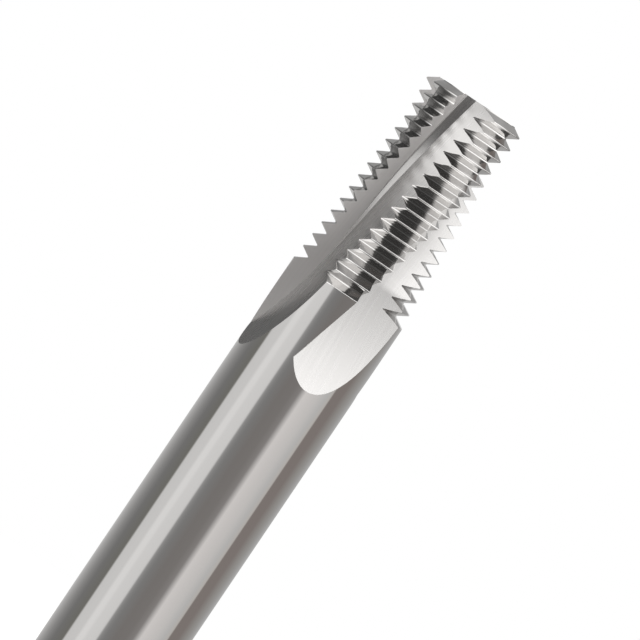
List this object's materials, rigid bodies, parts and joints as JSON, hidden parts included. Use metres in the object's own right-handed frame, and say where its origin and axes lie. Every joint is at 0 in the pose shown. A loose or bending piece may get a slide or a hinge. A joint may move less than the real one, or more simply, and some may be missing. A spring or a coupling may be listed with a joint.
{
  "type": "thread mill",
  "caption": "Solid carbide thread mill with a plain round shank and a tapered, helically fluted head of relieved V-form teeth for milling taper pipe threads.",
  "frame": {"origin": "centre of the flat shank end", "axes": "+Z along the tool's axis, from the shank end to the tip; -Y is the side that the picture shows"},
  "size_m": [0.016, 0.016, 0.105],
  "materials": {
    "carbide": "ground and polished tungsten carbide, bare"
  },
  "bodies": {
    "root": {"thread_mill": "carbide"}
  },
  "joints": []
}
